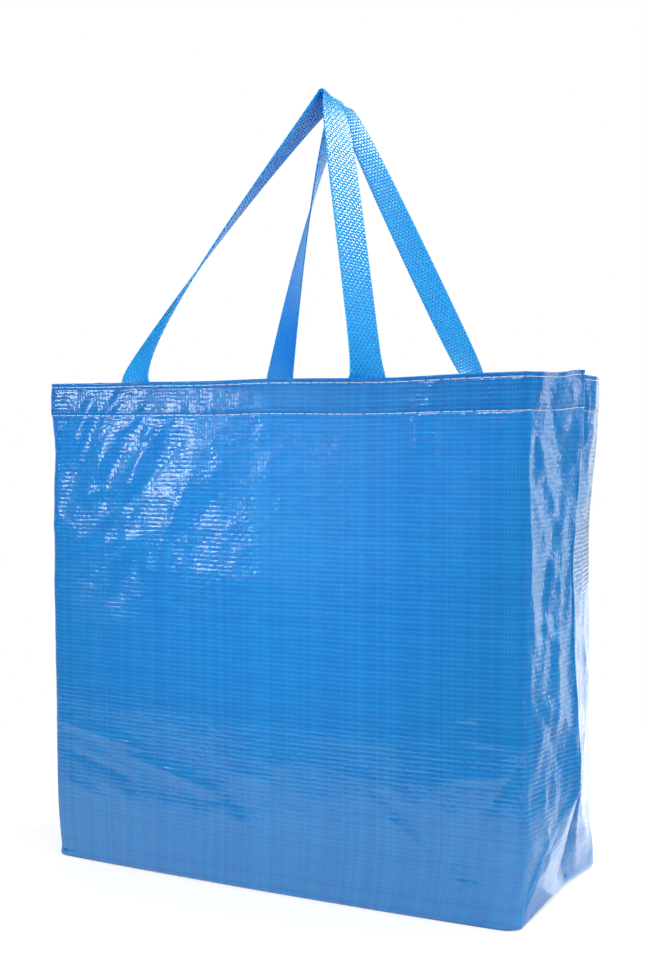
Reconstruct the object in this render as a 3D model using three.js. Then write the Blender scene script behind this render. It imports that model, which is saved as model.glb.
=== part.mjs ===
// Shopping bag of laminated woven plastic sheet with two long webbing handles.
// Frame: millimetres, +Z up, front panel towards -Y, origin under the middle of the bottom.
//
// The bag is one folded sheet: two panels, two gusset sides and a boxed bottom. Opened out, each
// side stands proud along its middle fold, and under the point where that fold stops (the gusset
// point) two creases run down at 45 degrees to the bottom corners. Each handle is one length of
// flat webbing whose ends sit on the inside of the hem. It stands up by its own stiffness, turning
// a quarter of a turn on the way, and is folded over at the top.
import * as THREE from 'three';

// Bag body
const H = 450;              // floor to rim
const PANEL_TOP = 475;      // width of a panel at the rim
const PANEL_FOOT = 470;     // width of a panel near the floor
const DEPTH_FOOT = 200;     // front to back at the floor
const DEPTH_TOP = 190;      // front to back at the rim
const GUSSET_Z = 98;        // height of the gusset point, half the depth of the bottom
const WALL = 0.6;           // laminated sheet
const HEM = 30;             // hem turned in at the mouth
const HEM_WALL = 1.5;       // the hem's folded layers
const FOOT_FOLD = 2.4;      // soft fold round the bottom
const CORNER = 8;           // soft fold at the front corners
const CORNER_BACK = 5;      // the same at the back corners
const FRONT_LEAN = 2.5;     // the front panel leans back less than the back panel leans forward
const FOLD_OUT = 8;         // the middle fold of a side stands this far out beyond the panel's edge
const BACK_IN = 8.5;        // the back corners draw in this far from the same line
const FOLD_HALF = PANEL_TOP / 2 + FOLD_OUT;
const BACK_HALF = PANEL_TOP / 2 - BACK_IN;
const HOLLOW_NEAR = 12;     // the hollow's deepest line, behind the middle fold
const HOLLOW_FAR = 48;      // and where it ends
const FLOOR_RING = 26;      // rounded part of the bottom, in from its edge
const SPREAD_Z = 110;       // the middle fold draws in from here up ...
const WAIST_Z = 250;        // ... to here
const FLARE_Z = 350;        // and flares out again from here up ...
const MOUTH_Z = 440;        // ... to here
const BACK_FLARE_Z = 300;   // the back corners flare out from here up ...
const BACK_MOUTH_Z = 425;   // ... to here
const BACK_FOOT_Z = 90;     // and they draw in over the bottom up to here
const TUCK_Z = 72;          // the front corners pull in over the bottom fold below here
const HOLLOW_Z = 285;       // the hollow behind a side's middle fold starts here
const GATHER_TOP = 150;     // above here the gather under the gusset point has opened out

// Handles
const WEB_WIDTH = 32;
const WEB_THICK = 1.5;
const SEAT_GAP = 0.3;       // webbing to hem
const SEAT_LENGTH = 26;     // sewn end, from the rim down
const FRONT_RISE = 262;     // rim to the top fold of the front handle
const BACK_RISE = 260.5;    // the same for the back handle
const FRONT_APEX = { x: 15, y: -8 };      // where each handle's top fold is, in plan
const BACK_APEX = { x: 9.5, y: 27 };
const FRONT_ENDS = { left: 140, right: 91 };   // middle of each sewn end, from the bag's middle
const BACK_ENDS = { left: 97, right: 125 };
const FOLD_TILT = 0.1;      // the front handle's top fold rises towards the front
const TURN = Math.PI / 180;

const clamp = (v, lo, hi) => Math.min(hi, Math.max(lo, v));
const lerp = (a, b, t) => a + (b - a) * t;
const smooth = (lo, hi, v) => {
  const t = clamp((v - lo) / (hi - lo), 0, 1);
  return t * t * (3 - 2 * t);
};

// y of the flat front panel, and depth from it to the back panel
const frontY = (z) => -lerp(DEPTH_FOOT / 2, DEPTH_TOP / 2 + FRONT_LEAN, z / H);
const depth = (z) => lerp(DEPTH_FOOT, DEPTH_TOP, z / H);

// Half widths at the front corner, at the middle fold of a side and at the back corner. The right
// side pulls in over the bottom fold, the left one stands straight.
const footTuck = (z, amount) => amount * Math.pow(clamp((TUCK_Z - z) / TUCK_Z, 0, 1), 1.6);
const cornerX = (z, right) =>
  lerp(PANEL_FOOT, PANEL_TOP, z / H) / 2 + (right ? 0 : 3) - footTuck(z, right ? 12 : 3);
const foldX = (z) =>
  FOLD_HALF + 6.5 * smooth(FLARE_Z, MOUTH_Z, z) + 4.8 * (1 - smooth(SPREAD_Z, WAIST_Z, z));
const backX = (z) =>
  BACK_HALF + 9 * smooth(BACK_FLARE_Z, BACK_MOUTH_Z, z) + 3 * (1 - smooth(0, BACK_FOOT_Z, z));

// Outward reach of a side at distance b behind the front panel and height z.
function sideX(b, z, right) {
  const d = depth(z);
  const mid = depth(GUSSET_Z) / 2;
  const a = cornerX(z, right);
  const back = backX(z);
  let knots;
  if (z >= GUSSET_Z) {
    // middle fold, then a hollow behind it that deepens towards the mouth
    const hollow = smooth(HOLLOW_Z, MOUTH_Z, z);
    const chordN = lerp(foldX(z), back, HOLLOW_NEAR / (d - mid));
    const chordK = lerp(foldX(z), back, HOLLOW_FAR / (d - mid));
    knots = [[0, a], [mid, foldX(z)], [mid + HOLLOW_NEAR, chordN - 1.5 - 9 * hollow],
      [mid + HOLLOW_FAR, chordK + 3.5 * hollow], [d, back]];
  } else {
    // below the gusset point: 45 degree creases, and a gather that closes to a narrow gap
    const t = z / GUSSET_Z;
    const crease = lerp(BACK_HALF, foldX(GUSSET_Z), t);
    const dent = Math.pow(Math.sin(Math.PI * clamp(t, 0, 1)), 0.6);
    const front = foldX(GUSSET_Z) - (GUSSET_Z - z) * 0.22;
    const rest = d - z - mid;
    knots = [[0, a], [Math.min(z, mid - 1), Math.max(a, crease)], [mid, front],
      [mid + 0.3 * rest, front - 12 * dent], [mid + 0.56 * rest, front - 0.5 * dent],
      [mid + rest, lerp(back, foldX(GUSSET_Z), t)], [d, back]];
  }
  for (let k = 1; k < knots.length; k++) {
    const [b0, x0] = knots[k - 1];
    const [b1, x1] = knots[k];
    if (b <= b1) return lerp(x0, x1, clamp((b - b0) / Math.max(b1 - b0, 1e-6), 0, 1));
  }
  return back;
}

// Columns of a side from front to back; they follow the creases.
function sideColumns(z) {
  const d = depth(z);
  const mid = depth(GUSSET_Z) / 2;
  const rest = Math.max(d - z - mid, 0);
  const open = smooth(GUSSET_Z, GATHER_TOP, z);
  const first = CORNER;
  const crease = z < GUSSET_Z ? clamp(z, 20, mid - 4) : mid - 4;
  const gap = z < GUSSET_Z ? Math.max(0.3 * rest, 5) : lerp(5, HOLLOW_NEAR, open);
  const lip = z < GUSSET_Z ? Math.max(0.56 * rest, 10) : lerp(10, 0.6 * HOLLOW_FAR, open);
  const rear = z < GUSSET_Z ? clamp(rest, 15, d - mid - 20) : lerp(15, HOLLOW_FAR, open);
  const last = d - CORNER_BACK;
  return [first, lerp(first, crease, 0.34), lerp(first, crease, 0.67), crease, mid,
    mid + gap, mid + lip, mid + rear, lerp(mid + rear, last, 0.5), last];
}

// Height of the rim over H: it sags a little beside the right handle end and is lifted by the
// middle fold of each side.
const rimLift = (x) =>
  -2.4 * Math.exp(-Math.pow((x - 95) / 75, 2)) - 0.8 * Math.exp(-Math.pow((x + 80) / 60, 2));
const FRONT_COLUMNS = 16;
const panelBulge = (s, z) =>
  (3 + 2 * (1 - z / H) + 4 * Math.sin(Math.PI * clamp(z / H, 0, 1))) * Math.pow(Math.sin(Math.PI * s), 0.9);

// One closed outline of the bag at height z, counter-clockwise from above; third value is height.
function outline(z) {
  const ring = [];
  const lift = smooth(360, H, z);
  const settle = clamp(1 - z / 60, 0, 1);
  const y0 = frontY(z);
  const d = depth(z);
  const soft = (cx, cy, ax, ay, bx, by) => {
    // soft corner between two points on either side of it
    for (const t of [0.28, 0.72]) {
      const u = 1 - t;
      ring.push([u * u * ax + 2 * u * t * cx + t * t * bx, u * u * ay + 2 * u * t * cy + t * t * by, z]);
    }
  };
  const xl = -cornerX(z, false);
  const xr = cornerX(z, true);
  for (let i = 0; i <= FRONT_COLUMNS; i++) {
    const s = i / FRONT_COLUMNS;
    const x = lerp(xl + CORNER, xr - CORNER, s);
    ring.push([x, y0 - panelBulge(s, z), z + lift * rimLift(x)]);
  }
  const side = (right) => sideColumns(z).map((b) => {
    const raised = 4 * lift * Math.exp(-Math.pow((b - d / 2) / 30, 2))
      + 3.5 * settle * Math.pow(Math.sin(Math.PI * clamp(b / d, 0, 1)), 2);
    return [(right ? 1 : -1) * sideX(b, z, right), y0 + b, z + raised];
  });
  const rightSide = side(true);
  soft(xr, y0, xr - CORNER, y0, rightSide[0][0], rightSide[0][1]);
  ring.push(...rightSide);
  const xb = backX(z);
  const backInset = CORNER_BACK;
  const last = rightSide[rightSide.length - 1];
  soft(xb, y0 + d, last[0], last[1], xb - backInset, y0 + d);
  for (let i = FRONT_COLUMNS; i >= 0; i--) {
    const s = i / FRONT_COLUMNS;
    const x = lerp(-xb + backInset, xb - backInset, s);
    ring.push([x, y0 + d + 0.8 * panelBulge(s, z), z + lift * 0.5 * rimLift(x)]);
  }
  const leftSide = side(false).reverse();
  soft(-xb, y0 + d, -xb + backInset, y0 + d, leftSide[0][0], leftSide[0][1]);
  ring.push(...leftSide);
  const end = leftSide[leftSide.length - 1];
  soft(xl, y0, end[0], end[1], xl + CORNER, y0);
  return ring;
}

// Move an outline inwards by a wall thickness, in plan.
function inset(ring, amount) {
  const n = ring.length;
  return ring.map((p, i) => {
    const a = ring[(i + n - 1) % n];
    const b = ring[(i + 1) % n];
    const e0 = new THREE.Vector2(p[0] - a[0], p[1] - a[1]).normalize();
    const e1 = new THREE.Vector2(b[0] - p[0], b[1] - p[1]).normalize();
    const normal = new THREE.Vector2(-(e0.y + e1.y), e0.x + e1.x).normalize();
    const mitre = clamp(1 / Math.max(normal.dot(new THREE.Vector2(-e0.y, e0.x)), 0.3), 1, 1.6);
    return [p[0] + normal.x * amount * mitre, p[1] + normal.y * amount * mitre, p[2]];
  });
}

// Closed mesh from a stack of rings of equal length, with both ends closed by a flat cap.
function loft(rings) {
  const n = rings[0].length;
  const positions = rings.flat(2);
  const index = [];
  for (let r = 0; r + 1 < rings.length; r++) {
    for (let i = 0; i < n; i++) {
      const a = r * n + i;
      const b = r * n + (i + 1) % n;
      index.push(a, b, b + n, a, b + n, a + n);
    }
  }
  const cap = (ring, base, flip) => {
    const contour = ring.map((p) => new THREE.Vector2(p[0], p[1]));
    const turn = THREE.ShapeUtils.isClockWise(contour) !== flip;
    for (const [a, b, c] of THREE.ShapeUtils.triangulateShape(contour, [])) {
      index.push(base + a, base + (turn ? c : b), base + (turn ? b : c));
    }
  };
  cap(rings[0], 0, true);
  cap(rings[rings.length - 1], (rings.length - 1) * n, false);
  const geometry = new THREE.BufferGeometry();
  geometry.setAttribute('position', new THREE.Float32BufferAttribute(positions, 3));
  geometry.setIndex(index);
  geometry.computeVertexNormals();
  return geometry;
}

// The folded sheet: up the outside, over the rim, down the inside of the hem and of the wall.
function bodyShell() {
  const floorRing = (z, shrink, level) =>
    outline(z).map(([x, y]) => [x * (1 - shrink / 230), y * (1 - shrink / 98), level]);
  const rows = (from, to, shares) => shares.map((share) => lerp(from, to, share));
  const heights = [FOOT_FOLD, ...rows(0, GUSSET_Z, [0.12, 0.27, 0.41, 0.56, 0.71, 0.86, 1]),
    ...rows(GUSSET_Z, H - HEM, [0.056, 0.137, 0.24, 0.363, 0.488, 0.58, 0.674, 0.767, 0.85, 0.93]),
    H - HEM - 1, H - HEM, H - HEM / 2, H];
  const rings = [floorRing(0, FLOOR_RING, 0), inset(outline(0), FOOT_FOLD)];
  for (const z of heights) rings.push(outline(z));
  for (const z of [...heights].reverse()) {
    if (z === FOOT_FOLD) continue;
    rings.push(inset(outline(z), z >= H - HEM ? HEM_WALL : WALL));
  }
  rings.push(inset(outline(FOOT_FOLD), WALL).map(([x, y, z]) => [x, y, z + 0.4]));
  rings.push(inset(outline(0), FOOT_FOLD + 0.4).map(([x, y, z]) => [x, y, z + WALL]));
  rings.push(floorRing(0, FLOOR_RING + 0.4, WALL));
  return loft(rings);
}

// Inside face of the hem beside a handle end.
function hemInsideY(x, z, front) {
  const xl = front ? -cornerX(z, false) + CORNER : -backX(z) + CORNER_BACK;
  const xr = front ? cornerX(z, true) - CORNER : backX(z) - CORNER_BACK;
  const s = (x - xl) / (xr - xl);
  return front
    ? frontY(z) - panelBulge(s, z) + HEM_WALL
    : frontY(z) + depth(z) + 0.8 * panelBulge(s, z) - HEM_WALL;
}

// Turn of the webbing in degrees, from the rim (0) to the top fold (1): it goes from `early` to
// `hold` over the first part of the leg, then reaches 90 at the fold, the later the higher `late` is.
function webTurn(u, { early, hold, quick, late }) {
  const settle = (v) => hold + (early - hold) * Math.exp(-v / quick);
  return settle(u) + (90 - settle(1)) * Math.pow(u, late);
}

// One handle: leg up, fold, leg down. Each leg is a cubic curve from the rim to the fold; below the
// rim it lies flat on the hem, and where it turns early its edge, not its middle, stays by the hem.
// `stand` and `lean` are the curve's two inner points: shares of the way from the rim to the apex,
// inwards along x, from the hem towards the apex along y, and up.
function handle({ front, at, rise, left, right }) {
  const sign = front ? -1 : 1;
  const apex = new THREE.Vector3(at.x, at.y, H + rise);
  const leg = (side, spec) => {
    const seatY = (z) => hemInsideY(spec.x, z, front) - sign * (SEAT_GAP + WEB_THICK / 2);
    const across = hemInsideY(spec.x + 16, H, front) - hemInsideY(spec.x - 16, H, front);
    const seatAngle = side * Math.atan2(across, 32) / TURN;
    const drawnIn = (angle) => -sign * (WEB_WIDTH / 2 + 0.5) * Math.sin(Math.max(angle, 0) * TURN);
    const stations = [];
    for (const drop of [SEAT_LENGTH, 20, 16, 12, 8, 4]) {
      const angle = spec.early * smooth(20, 0, drop) || 0;
      const p = new THREE.Vector3(spec.x, seatY(H - drop) + drawnIn(angle), H - drop);
      stations.push({ p, angle: angle + seatAngle });
    }
    const rimY = seatY(H) + drawnIn(spec.early);
    const foot = new THREE.Vector3(spec.x, rimY, H);
    const towards = ({ across: ax = 0, inward = 0, up = 0 }) => new THREE.Vector3(
      lerp(foot.x, apex.x, ax), lerp(foot.y, apex.y, inward), lerp(foot.z, apex.z, up));
    const curve = new THREE.CubicBezierCurve3(foot, towards(spec.stand), towards(spec.lean),
      new THREE.Vector3(apex.x + side * 4.5, apex.y, apex.z - 5));
    for (const u of [0, 0.014, 0.03, 0.048, 0.068, 0.09, 0.115, 0.145, 0.18, 0.22, 0.27, 0.33, 0.39, 0.46,
      0.53, 0.6, 0.67, 0.74, 0.8, 0.86, 0.91, 0.96, 1]) {
      stations.push({ p: curve.getPoint(u), angle: webTurn(u, spec) + seatAngle * Math.max(0, 1 - 8 * u) });
    }
    return { stations, end: curve.getTangent(1) };
  };
  const up = leg(-1, left);
  const down = leg(1, right);
  const a = up.stations[up.stations.length - 1].p;
  const b = down.stations[down.stations.length - 1].p;
  const fold = new THREE.CubicBezierCurve3(a, a.clone().addScaledVector(up.end, 4.6),
    b.clone().addScaledVector(down.end, 4.6), b);
  const path = [...up.stations,
    ...[0.14, 0.28, 0.42, 0.56, 0.7, 0.85].map((u) => ({ p: fold.getPoint(u), angle: 90 })),
    ...down.stations.reverse().map((s) => ({ p: s.p, angle: 180 - s.angle }))];
  const rings = path.map(({ p, angle }, k) => {
    const t = path[Math.min(k + 1, path.length - 1)].p.clone().sub(path[Math.max(k - 1, 0)].p).normalize();
    const tilt = FOLD_TILT * Math.pow(Math.sin(angle * TURN), 8);
    const w = new THREE.Vector3(Math.cos(angle * TURN), -Math.sin(angle * TURN), front ? tilt : 0);
    w.addScaledVector(t, -w.dot(t)).normalize();
    const n = new THREE.Vector3().crossVectors(t, w);
    const corner = (i, j) =>
      p.clone().addScaledVector(w, i * WEB_WIDTH / 2).addScaledVector(n, j * WEB_THICK / 2);
    return [corner(-1, -1), corner(0, -1), corner(1, -1), corner(1, 1), corner(0, 1), corner(-1, 1)]
      .map((v) => v.toArray());
  });
  return loftRibbon(rings);
}

// Closed mesh from the ribbon's sections.
function loftRibbon(rings) {
  const n = rings[0].length;
  const index = [];
  for (let r = 0; r + 1 < rings.length; r++) {
    for (let i = 0; i < n; i++) {
      const a = r * n + i;
      const b = r * n + (i + 1) % n;
      index.push(a, b, b + n, a, b + n, a + n);
    }
  }
  const last = (rings.length - 1) * n;
  for (let i = 1; i + 1 < n; i++) {
    index.push(0, i + 1, i);
    index.push(last, last + i, last + i + 1);
  }
  const geometry = new THREE.BufferGeometry();
  geometry.setAttribute('position', new THREE.Float32BufferAttribute(rings.flat(2), 3));
  geometry.setIndex(index);
  geometry.computeVertexNormals();
  return geometry;
}

const sheetBlue = new THREE.MeshStandardMaterial(
  { color: 0x2a7fd8, roughness: 0.35, metalness: 0, side: THREE.DoubleSide });
const webBlue = new THREE.MeshStandardMaterial({ color: 0x1b86e6, roughness: 0.55, metalness: 0 });

const bag = new THREE.Group();
bag.name = 'woven_shopping_bag';

function add(name, geometry, material) {
  const mesh = new THREE.Mesh(geometry, material);
  mesh.name = name;
  bag.add(mesh);
}

add('bag_body', bodyShell(), sheetBlue);
add('handle_front', handle({
  front: true,
  at: FRONT_APEX,
  rise: FRONT_RISE,
  left: { x: -FRONT_ENDS.left, early: 0, hold: 52, quick: 0.22, late: 2,
    stand: { across: 0.006, up: 0.137 }, lean: { across: 0.806, inward: 0.619, up: 0.786 } },
  right: { x: FRONT_ENDS.right, early: 42, hold: 63, quick: 0.05, late: 6,
    stand: { across: 0.092, up: 0.248 }, lean: { across: 0.789, inward: 0.81, up: 0.87 } },
}), webBlue);
add('handle_back', handle({
  front: false,
  at: BACK_APEX,
  rise: BACK_RISE,
  left: { x: -BACK_ENDS.left, early: 0, hold: 92, quick: 0.8, late: 3,
    stand: { across: 0.108, up: 0.234 }, lean: { across: 0.61, inward: 0.833, up: 0.675 } },
  right: { x: BACK_ENDS.right, early: 78, hold: 57, quick: 0.08, late: 3,
    stand: { across: 0.217, up: 0.171 }, lean: { across: 0.887, inward: 0.93, up: 0.913 } },
}), webBlue.clone());

// The frame's origin is under the middle of the whole object.
const extent = new THREE.Box3();
for (const mesh of bag.children) extent.union(new THREE.Box3().setFromObject(mesh));
const centre = extent.getCenter(new THREE.Vector3());
for (const mesh of bag.children) mesh.geometry.translate(-centre.x, -centre.y, -extent.min.z);

export default bag;
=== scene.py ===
"""Shopping bag of laminated woven polypropylene with two long webbing handles.

The bag is one folded and sewn sheet, open at the top. Its shell is a closed outline that is worked
out at every height, then creased, crinkled and given a wall. Each handle is one flat ribbon that
is carried along a path and turned as it goes. The seam threads are rows of short stitches.
Lengths inside the functions are millimetres; the meshes, materials and studio are in metres.
"""

import bpy
import numpy as np
from mathutils import Matrix, Vector


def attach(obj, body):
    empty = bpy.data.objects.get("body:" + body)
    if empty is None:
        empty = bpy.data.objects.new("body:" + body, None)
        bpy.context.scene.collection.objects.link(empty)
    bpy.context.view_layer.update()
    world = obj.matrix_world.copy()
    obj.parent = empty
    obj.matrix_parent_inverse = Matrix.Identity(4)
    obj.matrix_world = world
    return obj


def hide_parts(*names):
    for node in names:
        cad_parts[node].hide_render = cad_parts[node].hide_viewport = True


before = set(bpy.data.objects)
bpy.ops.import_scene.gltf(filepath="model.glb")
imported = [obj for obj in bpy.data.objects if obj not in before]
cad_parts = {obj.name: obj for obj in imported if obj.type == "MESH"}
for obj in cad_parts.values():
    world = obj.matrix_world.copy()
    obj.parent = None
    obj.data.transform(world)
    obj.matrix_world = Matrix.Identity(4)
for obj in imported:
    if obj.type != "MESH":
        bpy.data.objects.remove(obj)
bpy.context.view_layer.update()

MM = 0.001

# Bag body, the same sizes as the solid
H = 450.0                # floor to rim
PANEL_TOP = 475.0        # width of a panel at the rim
PANEL_FOOT = 470.0       # width of a panel near the floor
DEPTH_FOOT = 200.0       # front to back at the floor
DEPTH_TOP = 190.0        # front to back at the rim
GUSSET_Z = 98.0          # height of the gusset point
WALL = 0.6               # laminated sheet
HEM = 30.0               # hem turned in at the mouth
HEM_WALL = 1.5           # the hem's folded layers
FOOT_FOLD = 2.4          # soft fold round the bottom
CORNER = 8.0             # soft fold at the front corners
CORNER_BACK = 5.0        # the same at the back corners
TUCK_Z = 72.0            # the front corners pull in below this height
FOOT_X = 229.0           # half width of the back, and of the gusset creases where they start
HOLLOW_NEAR = 12.0       # hollow of a side: its start and its end, behind the middle fold
HOLLOW_FAR = 48.0
GATHER_DIP = 0.3         # gather under the gusset point: its dip and its lip, as shares of the
GATHER_LIP = 0.56        # way from the middle fold to the rear crease
ORIGIN_Y = 1.46          # the frame's origin is under the middle of the whole object

# Seam
ROW_LOW = H - HEM        # lower row of stitches
ROW_HIGH = H - 3.0       # upper row, just under the rim
STITCH_PITCH = 7.0       # one stitch and the gap after it
STITCH_LENGTH = 6.8
THREAD = 0.56            # thread thickness

# Handles
WEB_WIDTH = 32.0
WEB_THICK = 1.5
SEAT_GAP = 0.3           # webbing to hem
SEAT_LENGTH = 26.0       # sewn end, from the rim down
FRONT_RISE = 262.0       # rim to the top fold of the front handle
BACK_RISE = 260.5        # the same for the back handle
FRONT_APEX = (15.0, -8.0)    # where each handle's top fold is, in plan
BACK_APEX = (9.5, 27.0)
FRONT_ENDS = (-140.0, 91.0)  # middle of each sewn end
BACK_ENDS = (-97.0, 125.0)
FOLD_TILT = 0.1          # the front handle's top fold rises towards the front
FOLD_HALF = 4.5          # the top fold bends over from this far left of its apex to as far right
FOLD_DROP = 5.0          # and starts this far below it

# Weaves; the webbing's real ones are about half as wide, which the render wouldn't show
WEB_PICK = 3.0           # one pick of the webbing, and one scallop of its edge
WEB_CORD = 2.2           # one warp cord of the webbing
WEFT_TAPE = 4.0          # woven tapes of the bag's sheet, crosswise
WARP_TAPE = 3.0          # and upright

# Grids
LOOP = 1330.0            # length of the bag's outline
FRONT_COLUMNS = 140
BACK_COLUMNS = 90
SIDE_STEPS = (18, 6, 6, 10, 12, 14)   # columns between one crease of a side and the next
ARC = 6                  # steps round a soft corner
WHOLE_ROWS = 12          # top rows that the inner skin keeps; below them it keeps one in three
STRAP_COLUMNS = 15       # points across each face of the webbing
ROD_SIDES = 6            # points round a stitch


def smooth(lo, hi, v):
    """Smoothstep from 0 at lo to 1 at hi; hi may be the smaller one."""
    t = np.clip((v - lo) / (hi - lo), 0, 1)
    return t * t * (3 - 2 * t)


def lerp(a, b, t):
    """Straight mix: a at t = 0 and b at t = 1."""
    return a + (b - a) * t


def bump(v, centre, width):
    """Bell curve of height 1 round the centre."""
    return np.exp(-((v - centre) / width) ** 2)


# Outline of the bag


def front_y(z):
    """Front panel: 100 mm before the middle at the floor, leaning back in a straight line."""
    return -lerp(100, 97.5, z / H)


def depth(z):
    """Front panel to back panel: a straight mix of the sizes at the floor and the rim."""
    return lerp(DEPTH_FOOT, DEPTH_TOP, z / H)


def corner_x(z, right):
    """Half width at the front corner; the right side pulls in over the bottom fold."""
    tuck = (12 if right else 3) * np.clip((TUCK_Z - z) / TUCK_Z, 0, 1) ** 1.6
    return lerp(PANEL_FOOT, PANEL_TOP, z / H) / 2 + (0 if right else 3) - tuck


def fold_x(z):
    """Half width at the middle fold of a side, wider at the rim and near the foot."""
    return 245.5 + 6.5 * smooth(350, 440, z) + 4.8 * (1 - smooth(110, 250, z))


def back_x(z):
    """Half width at the back corner, wider at the rim and near the foot."""
    return FOOT_X + 9 * smooth(300, 425, z) + 3 * (1 - smooth(0, 90, z))


def panel_bulge(s, z):
    """How far a panel swells: half a sine across, fuller at middle height; s runs 0 to 1 across."""
    return ((3 + 2 * (1 - z / H) + 4 * np.sin(np.pi * np.clip(z / H, 0, 1)))
            * np.sin(np.pi * np.clip(s, 0, 1)) ** 0.9)


def rim_lift(x):
    """The rim sags a little beside the handle ends."""
    return -2.4 * bump(x, 95, 75) - 0.8 * bump(x, -80, 60)


def side_reach(b, z, right):
    """Half width of a side at distance b behind the front panel.

    Straight lines between creases: above the gusset point the middle fold and a hollow behind it,
    below it two creases at 45 degrees with a gather between them. z is a column of heights.
    """
    d, mid, corner, back = depth(z), depth(GUSSET_Z) / 2, corner_x(z, right), back_x(z)
    zero = 0 * z

    # Above the gusset point
    hollow = smooth(285, 440, z)
    near = lerp(fold_x(z), back, HOLLOW_NEAR / (d - mid)) - 1.5 - 9 * hollow
    far = lerp(fold_x(z), back, HOLLOW_FAR / (d - mid)) + 3.5 * hollow
    last = lerp(far, back, (d - 1 - mid - HOLLOW_FAR) / (d - mid - HOLLOW_FAR))
    centre = (HOLLOW_NEAR + HOLLOW_FAR) / 2
    high_b = [zero, zero + mid, zero + mid + HOLLOW_NEAR, zero + mid + centre,
              zero + mid + HOLLOW_FAR, d - 1, d]
    high_x = [corner, fold_x(z), near, (near + far) / 2, far, last, back]

    # Below it
    t = np.clip(z / GUSSET_Z, 0, 1)
    dent = np.sin(np.pi * t) ** 0.6
    point = fold_x(GUSSET_Z)
    front = point - (GUSSET_Z - z) * 0.22
    rest = np.maximum(d - z - mid, 0)
    low_b = [zero, np.minimum(z, mid - 1), zero + mid, mid + GATHER_DIP * rest,
             mid + GATHER_LIP * rest, mid + rest, d]
    low_x = [corner, np.maximum(corner, lerp(FOOT_X, point, t)), front, front - 12 * dent,
             front - 0.5 * dent, lerp(back, point, t), back]

    low = z < GUSSET_Z
    stops = [np.where(low, p, q) for p, q in zip(low_b, high_b)]
    reaches = [np.where(low, p, q) for p, q in zip(low_x, high_x)]
    reach = back + 0 * b
    for k in range(len(stops) - 1, 0, -1):
        t = np.clip((b - stops[k - 1]) / np.maximum(stops[k] - stops[k - 1], 1e-6), 0, 1)
        reach = np.where(b <= stops[k], lerp(reaches[k - 1], reaches[k], t), reach)
    return reach


def side_columns(z):
    """Distances behind the front panel of a side's grid columns, dense at the creases."""
    d, mid = depth(z), depth(GUSSET_Z) / 2
    rest = np.maximum(d - z - mid, 0)
    opening = smooth(GUSSET_Z, 150, z)
    low = z < GUSSET_Z
    crease_b = np.where(low, np.clip(z, 20, mid - 4), mid - 4)
    dip = np.where(low, np.maximum(GATHER_DIP * rest, 5), lerp(5, HOLLOW_NEAR, opening))
    lip = np.where(low, np.maximum(GATHER_LIP * rest, 10), lerp(10, 29, opening))
    rear = np.where(low, np.clip(rest, 15, d - mid - 20), lerp(15, HOLLOW_FAR, opening))
    stops = [CORNER + 0 * z, crease_b, mid + 0 * z, mid + dip, mid + lip, mid + rear, d - CORNER_BACK]
    parts = [lerp(p, q, np.arange(n) / n) for p, q, n in zip(stops, stops[1:], SIDE_STEPS)]
    return np.concatenate(parts + [stops[-1]], axis=1)


def soft_corner(corner, a, b):
    """Points of a quadratic curve from a to b that the corner pulls towards it."""
    t = (np.arange(1, ARC) / ARC)[None, :, None]
    return (1 - t) ** 2 * a[:, None] + 2 * t * (1 - t) * corner[:, None] + t * t * b[:, None]


def outline(z):
    """Closed outlines, one per height, counter-clockwise from above: heights x columns x 3."""
    z = np.asarray(z, float)[:, None]
    lift, settle = smooth(360, H, z), np.clip(1 - z / 60, 0, 1)
    y0, d = front_y(z), depth(z)
    xl, xr, xb = -corner_x(z, False), corner_x(z, True), back_x(z)

    def points(x, y, level):
        return np.stack(np.broadcast_arrays(x, y, level), -1)

    s = np.linspace(0, 1, FRONT_COLUMNS + 1)[None]
    x = lerp(xl + CORNER, xr - CORNER, s)
    front = points(x, y0 - panel_bulge(s, z), z + lift * rim_lift(x))
    s = np.linspace(1, 0, BACK_COLUMNS + 1)[None]
    x = lerp(-xb + CORNER_BACK, xb - CORNER_BACK, s)
    back = points(x, y0 + d + 0.8 * panel_bulge(s, z), z + 0.5 * lift * rim_lift(x))

    b = side_columns(z)
    arch = np.sin(np.pi * np.clip(b / d, 0, 1)) ** 2
    raised = 4 * lift * bump(b, d / 2, 30) + 3.5 * settle * arch
    right = points(side_reach(b, z, True), y0 + b, z + raised)
    left = points(-side_reach(b, z, False), y0 + b, z + raised)[:, ::-1]

    def corner(x, y):
        return points(x, y, z)[:, 0]

    return np.concatenate([
        front, soft_corner(corner(xr, y0), front[:, -1], right[:, 0]),
        right, soft_corner(corner(xb, y0 + d), right[:, -1], back[:, 0]),
        back, soft_corner(corner(-xb, y0 + d), back[:, -1], left[:, 0]),
        left, soft_corner(corner(xl, y0), left[:, -1], front[:, 0])], axis=1)


# Wrinkles


def noise(around, z, size, seed):
    """Smooth random heights, -1 to 1.

    A lattice of random values, one every size millimetres, that closes round the bag; between
    them smoothsteps mix the four nearest.
    """
    cells, rows = int(round(LOOP / size)), 64
    table = np.random.default_rng(seed).uniform(-1, 1, (cells, rows))
    u, v = around / LOOP * cells, z / size
    i, j = np.floor(u).astype(int), np.floor(v).astype(int)
    fu, fv = smooth(0, 1, u - i), smooth(0, 1, v - j)
    low = lerp(table[i % cells, j % rows], table[(i + 1) % cells, j % rows], fu)
    high = lerp(table[i % cells, (j + 1) % rows], table[(i + 1) % cells, (j + 1) % rows], fu)
    return lerp(low, high, fv)


def ridges(around, z, size, seed):
    """Crisp ridges where smooth noise crosses zero, 0.6 high, over a flat ground at -0.4."""
    return 0.6 - np.minimum(np.abs(noise(around, z, size, seed)) * 2.2, 1)


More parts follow.
